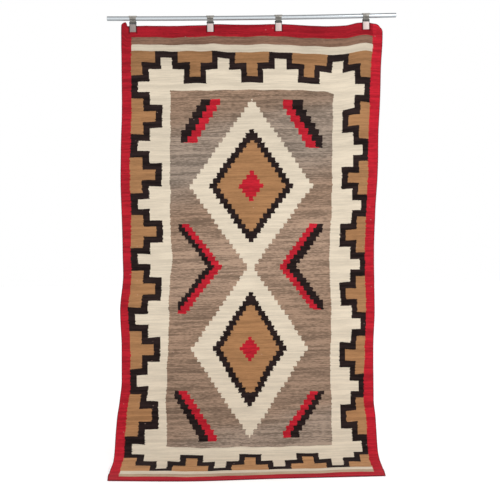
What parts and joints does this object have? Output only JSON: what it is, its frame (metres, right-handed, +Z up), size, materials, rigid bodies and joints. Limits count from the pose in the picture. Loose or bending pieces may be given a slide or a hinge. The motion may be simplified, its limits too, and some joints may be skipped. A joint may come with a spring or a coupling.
{
  "type": "navajo rug hung on a rod",
  "caption": "Handwoven wool rug with stepped diamonds and a stepped border, hung from a plain steel rod by pinch clips, its lower end turned forward on the floor.",
  "frame": {"origin": "midway between the centres of the rod's two ends; the rod's own middle sags 4.5 mm below it", "axes": "+X along the rod to the right as the rug's face is seen, +Y from the face to the back, +Z up"},
  "size_m": [1.344, 0.3677, 2.0748],
  "materials": {
    "rug_wool": "matt handspun wool in weft-faced tapestry weave: crimson, black-brown, cream, tan and heathered grey-brown",
    "rod_steel": "plain bright zinc-coated steel, with soft streaks",
    "clip_band": "dull mottled steel",
    "clip_pin": "dark steel",
    "clip_jaws": "satin steel, a little worn"
  },
  "bodies": {
    "root": {"rug": "rug_wool", "rod": "rod_steel", "clip_1_band": "clip_band", "clip_1_pin": "clip_pin", "clip_1_jaws": "clip_jaws", "clip_2_band": "clip_band", "clip_2_pin": "clip_pin", "clip_2_jaws": "clip_jaws", "clip_3_band": "clip_band", "clip_3_pin": "clip_pin", "clip_3_jaws": "clip_jaws", "clip_4_band": "clip_band", "clip_4_pin": "clip_pin", "clip_4_jaws": "clip_jaws"}
  },
  "joints": []
}
